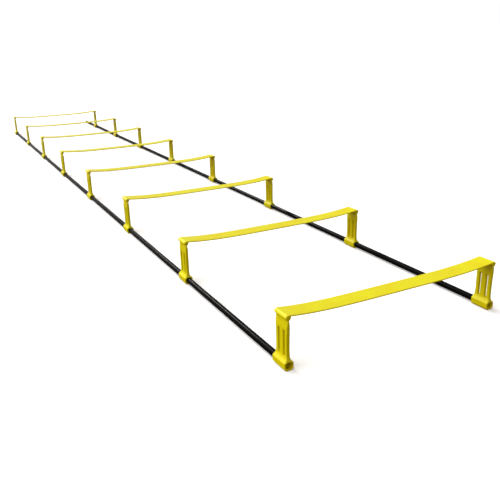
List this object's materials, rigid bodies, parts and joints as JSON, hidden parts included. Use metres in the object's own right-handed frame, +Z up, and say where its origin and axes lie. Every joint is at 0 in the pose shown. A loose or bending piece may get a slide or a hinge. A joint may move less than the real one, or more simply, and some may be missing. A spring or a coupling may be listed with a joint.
{
  "type": "agility hurdle",
  "caption": "Elevated agility hurdle ladder: low crossbars on hinged legs whose foot sleeves turn on two round side rails, so each hurdle swings down nearly flat.",
  "frame": {"origin": "on the floor under the centre of the whole ladder's bounding box, the odd end tube included", "axes": "+Y along the ladder towards the end with the odd rail tube, +X across it to the side of that tube, +Z up"},
  "size_m": [0.5, 3.421, 0.105],
  "materials": {
    "yellow_plastic": "bright yellow moulded plastic, satin sheen",
    "black_tube": "glossy black round tube"
  },
  "bodies": {
    "rails": {"rail_tube_left_1": "black_tube", "rail_tube_right_1": "black_tube", "rail_tube_left_2": "black_tube", "rail_tube_right_2": "black_tube", "rail_tube_left_3": "black_tube", "rail_tube_right_3": "black_tube", "rail_tube_left_4": "black_tube", "rail_tube_right_4": "black_tube", "rail_tube_left_5": "black_tube", "rail_tube_right_5": "black_tube", "rail_tube_left_6": "black_tube", "rail_tube_right_6": "black_tube", "rail_tube_left_7": "black_tube", "rail_tube_right_7": "black_tube", "rail_tube_end": "black_tube"},
    "left_leg_1": {"leg_left_1": "yellow_plastic"},
    "right_leg_1": {"leg_right_1": "yellow_plastic"},
    "crossbar_1": {"crossbar_1": "yellow_plastic"},
    "left_leg_2": {"leg_left_2": "yellow_plastic"},
    "right_leg_2": {"leg_right_2": "yellow_plastic"},
    "crossbar_2": {"crossbar_2": "yellow_plastic"},
    "left_leg_3": {"leg_left_3": "yellow_plastic"},
    "right_leg_3": {"leg_right_3": "yellow_plastic"},
    "crossbar_3": {"crossbar_3": "yellow_plastic"},
    "left_leg_4": {"leg_left_4": "yellow_plastic"},
    "right_leg_4": {"leg_right_4": "yellow_plastic"},
    "crossbar_4": {"crossbar_4": "yellow_plastic"},
    "left_leg_5": {"leg_left_5": "yellow_plastic"},
    "right_leg_5": {"leg_right_5": "yellow_plastic"},
    "crossbar_5": {"crossbar_5": "yellow_plastic"},
    "left_leg_6": {"leg_left_6": "yellow_plastic"},
    "right_leg_6": {"leg_right_6": "yellow_plastic"},
    "crossbar_6": {"crossbar_6": "yellow_plastic"},
    "left_leg_7": {"leg_left_7": "yellow_plastic"},
    "right_leg_7": {"leg_right_7": "yellow_plastic"},
    "crossbar_7": {"crossbar_7": "yellow_plastic"},
    "left_leg_8": {"leg_left_8": "yellow_plastic"},
    "right_leg_8": {"leg_right_8": "yellow_plastic"},
    "crossbar_8": {"crossbar_8": "yellow_plastic"}
  },
  "joints": [
    {"name": "fold_1", "type": "hinge", "parent": "rails", "child": "left_leg_1", "pos_m": [-0.2405, -1.6895, 0.0095], "axis": [0, 1, 0], "range_deg": [-75, 75]},
    {"name": "right_leg_swing_1", "type": "hinge", "parent": "rails", "child": "right_leg_1", "pos_m": [0.2405, -1.6895, 0.0095], "axis": [0, 1, 0], "range_deg": [-75, 75]},
    {"name": "crossbar_hinge_1", "type": "hinge", "parent": "left_leg_1", "child": "crossbar_1", "pos_m": [-0.2405, -1.6895, 0.09875], "axis": [0, 1, 0], "range_deg": [-75, 75]},
    {"name": "fold_2", "type": "hinge", "parent": "rails", "child": "left_leg_2", "pos_m": [-0.2405, -1.2395, 0.0095], "axis": [0, 1, 0], "range_deg": [-75, 75]},
    {"name": "right_leg_swing_2", "type": "hinge", "parent": "rails", "child": "right_leg_2", "pos_m": [0.2405, -1.2395, 0.0095], "axis": [0, 1, 0], "range_deg": [-75, 75]},
    {"name": "crossbar_hinge_2", "type": "hinge", "parent": "left_leg_2", "child": "crossbar_2", "pos_m": [-0.2405, -1.2395, 0.09875], "axis": [0, 1, 0], "range_deg": [-75, 75]},
    {"name": "fold_3", "type": "hinge", "parent": "rails", "child": "left_leg_3", "pos_m": [-0.2405, -0.7895, 0.0095], "axis": [0, 1, 0], "range_deg": [-75, 75]},
    {"name": "right_leg_swing_3", "type": "hinge", "parent": "rails", "child": "right_leg_3", "pos_m": [0.2405, -0.7895, 0.0095], "axis": [0, 1, 0], "range_deg": [-75, 75]},
    {"name": "crossbar_hinge_3", "type": "hinge", "parent": "left_leg_3", "child": "crossbar_3", "pos_m": [-0.2405, -0.7895, 0.09875], "axis": [0, 1, 0], "range_deg": [-75, 75]},
    {"name": "fold_4", "type": "hinge", "parent": "rails", "child": "left_leg_4", "pos_m": [-0.2405, -0.3395, 0.0095], "axis": [0, 1, 0], "range_deg": [-75, 75]},
    {"name": "right_leg_swing_4", "type": "hinge", "parent": "rails", "child": "right_leg_4", "pos_m": [0.2405, -0.3395, 0.0095], "axis": [0, 1, 0], "range_deg": [-75, 75]},
    {"name": "crossbar_hinge_4", "type": "hinge", "parent": "left_leg_4", "child": "crossbar_4", "pos_m": [-0.2405, -0.3395, 0.09875], "axis": [0, 1, 0], "range_deg": [-75, 75]},
    {"name": "fold_5", "type": "hinge", "parent": "rails", "child": "left_leg_5", "pos_m": [-0.2405, 0.1105, 0.0095], "axis": [0, 1, 0], "range_deg": [-75, 75]},
    {"name": "right_leg_swing_5", "type": "hinge", "parent": "rails", "child": "right_leg_5", "pos_m": [0.2405, 0.1105, 0.0095], "axis": [0, 1, 0], "range_deg": [-75, 75]},
    {"name": "crossbar_hinge_5", "type": "hinge", "parent": "left_leg_5", "child": "crossbar_5", "pos_m": [-0.2405, 0.1105, 0.09875], "axis": [0, 1, 0], "range_deg": [-75, 75]},
    {"name": "fold_6", "type": "hinge", "parent": "rails", "child": "left_leg_6", "pos_m": [-0.2405, 0.5605, 0.0095], "axis": [0, 1, 0], "range_deg": [-75, 75]},
    {"name": "right_leg_swing_6", "type": "hinge", "parent": "rails", "child": "right_leg_6", "pos_m": [0.2405, 0.5605, 0.0095], "axis": [0, 1, 0], "range_deg": [-75, 75]},
    {"name": "crossbar_hinge_6", "type": "hinge", "parent": "left_leg_6", "child": "crossbar_6", "pos_m": [-0.2405, 0.5605, 0.09875], "axis": [0, 1, 0], "range_deg": [-75, 75]},
    {"name": "fold_7", "type": "hinge", "parent": "rails", "child": "left_leg_7", "pos_m": [-0.2405, 1.0105, 0.0095], "axis": [0, 1, 0], "range_deg": [-75, 75]},
    {"name": "right_leg_swing_7", "type": "hinge", "parent": "rails", "child": "right_leg_7", "pos_m": [0.2405, 1.0105, 0.0095], "axis": [0, 1, 0], "range_deg": [-75, 75]},
    {"name": "crossbar_hinge_7", "type": "hinge", "parent": "left_leg_7", "child": "crossbar_7", "pos_m": [-0.2405, 1.0105, 0.09875], "axis": [0, 1, 0], "range_deg": [-75, 75]},
    {"name": "fold_8", "type": "hinge", "parent": "rails", "child": "left_leg_8", "pos_m": [-0.2405, 1.4605, 0.0095], "axis": [0, 1, 0], "range_deg": [-75, 75]},
    {"name": "right_leg_swing_8", "type": "hinge", "parent": "rails", "child": "right_leg_8", "pos_m": [0.2405, 1.4605, 0.0095], "axis": [0, 1, 0], "range_deg": [-75, 75]},
    {"name": "crossbar_hinge_8", "type": "hinge", "parent": "left_leg_8", "child": "crossbar_8", "pos_m": [-0.2405, 1.4605, 0.09875], "axis": [0, 1, 0], "range_deg": [-75, 75]}
  ],
  "couplings": [
    {"joint": "right_leg_swing_1", "follows": "fold_1", "ratio": 1},
    {"joint": "crossbar_hinge_1", "follows": "fold_1", "ratio": -1},
    {"joint": "right_leg_swing_2", "follows": "fold_2", "ratio": 1},
    {"joint": "crossbar_hinge_2", "follows": "fold_2", "ratio": -1},
    {"joint": "right_leg_swing_3", "follows": "fold_3", "ratio": 1},
    {"joint": "crossbar_hinge_3", "follows": "fold_3", "ratio": -1},
    {"joint": "right_leg_swing_4", "follows": "fold_4", "ratio": 1},
    {"joint": "crossbar_hinge_4", "follows": "fold_4", "ratio": -1},
    {"joint": "right_leg_swing_5", "follows": "fold_5", "ratio": 1},
    {"joint": "crossbar_hinge_5", "follows": "fold_5", "ratio": -1},
    {"joint": "right_leg_swing_6", "follows": "fold_6", "ratio": 1},
    {"joint": "crossbar_hinge_6", "follows": "fold_6", "ratio": -1},
    {"joint": "right_leg_swing_7", "follows": "fold_7", "ratio": 1},
    {"joint": "crossbar_hinge_7", "follows": "fold_7", "ratio": -1},
    {"joint": "right_leg_swing_8", "follows": "fold_8", "ratio": 1},
    {"joint": "crossbar_hinge_8", "follows": "fold_8", "ratio": -1}
  ]
}
